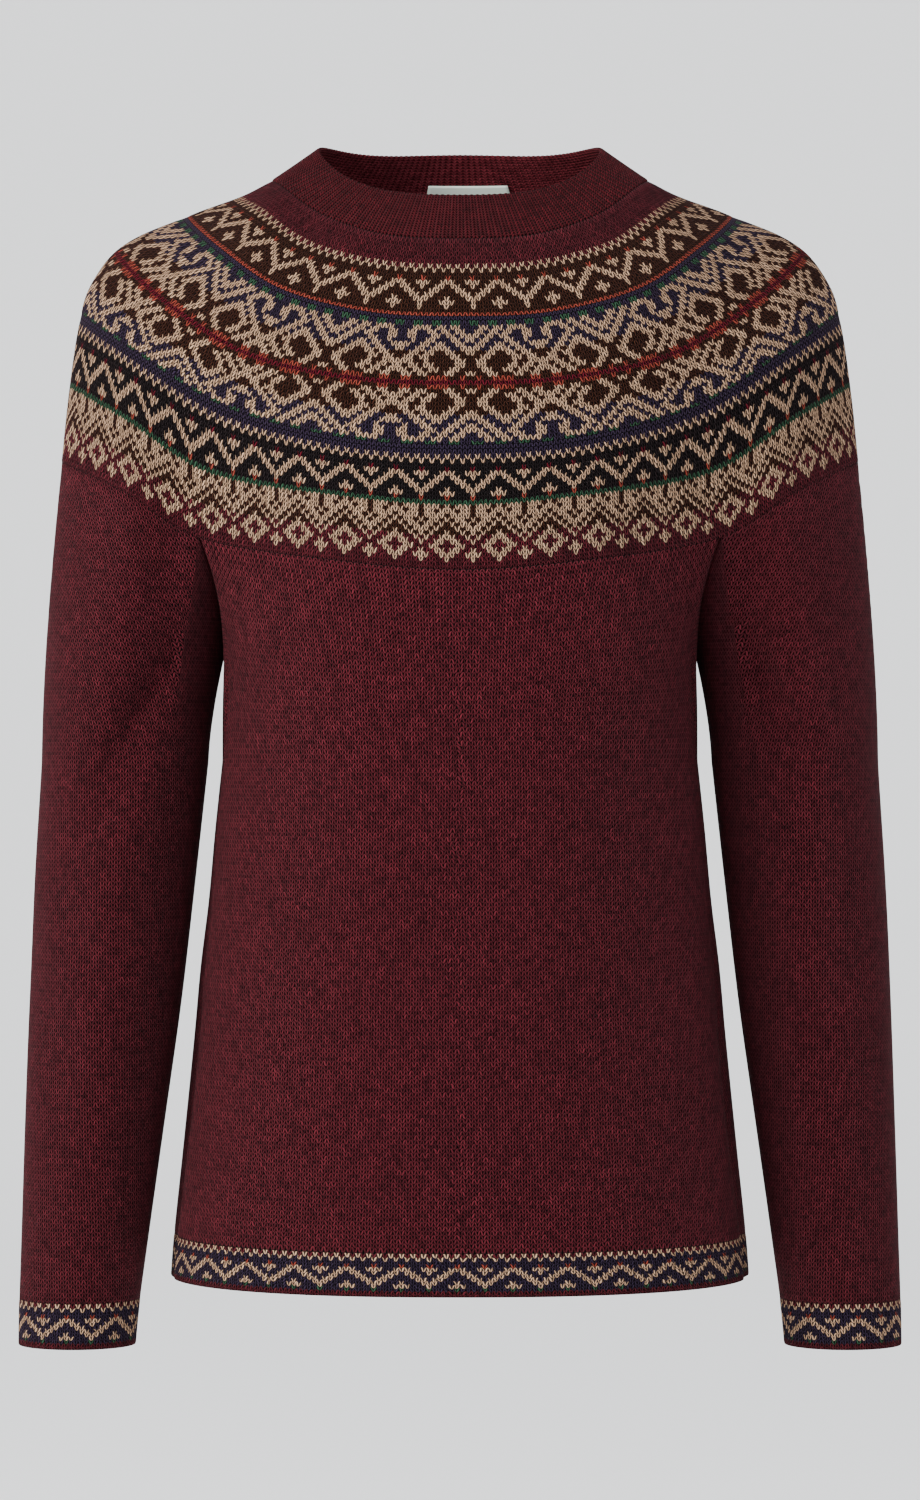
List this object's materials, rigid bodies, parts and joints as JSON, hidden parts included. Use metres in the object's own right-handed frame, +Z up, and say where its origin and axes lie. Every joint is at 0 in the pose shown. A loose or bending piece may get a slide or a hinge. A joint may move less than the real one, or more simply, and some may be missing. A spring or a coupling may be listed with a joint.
{
  "type": "fair isle jumper",
  "caption": "Long-sleeved knitted jumper with a ribbed funnel neckband, a patterned round yoke, patterned hem and cuff bands, held in its worn shape and hollow.",
  "frame": {"origin": "midway between the neck points of the shoulders, where the wearer's shoulders hold the jumper up", "axes": "+Z up, the front faces -Y, the wearer's left is +X"},
  "size_m": [0.5042, 0.242, 0.69],
  "materials": {
    "burgundy_wool": "matte heathered stockinette",
    "rib_wool": "matte 1x1 rib",
    "yoke_wool": "matte stranded colourwork in beige, brown, navy, black, coral, green and burgundy",
    "band_wool": "matte stranded colourwork in navy and beige",
    "label_cloth": "smooth woven satin strip, bare"
  },
  "bodies": {
    "root": {"neckband": "rib_wool", "yoke": "yoke_wool", "front": "burgundy_wool", "back": "burgundy_wool", "hem_band": "band_wool", "sleeve_left": "burgundy_wool", "cuff_left": "band_wool", "sleeve_right": "burgundy_wool", "cuff_right": "band_wool", "label": "label_cloth"}
  },
  "joints": []
}
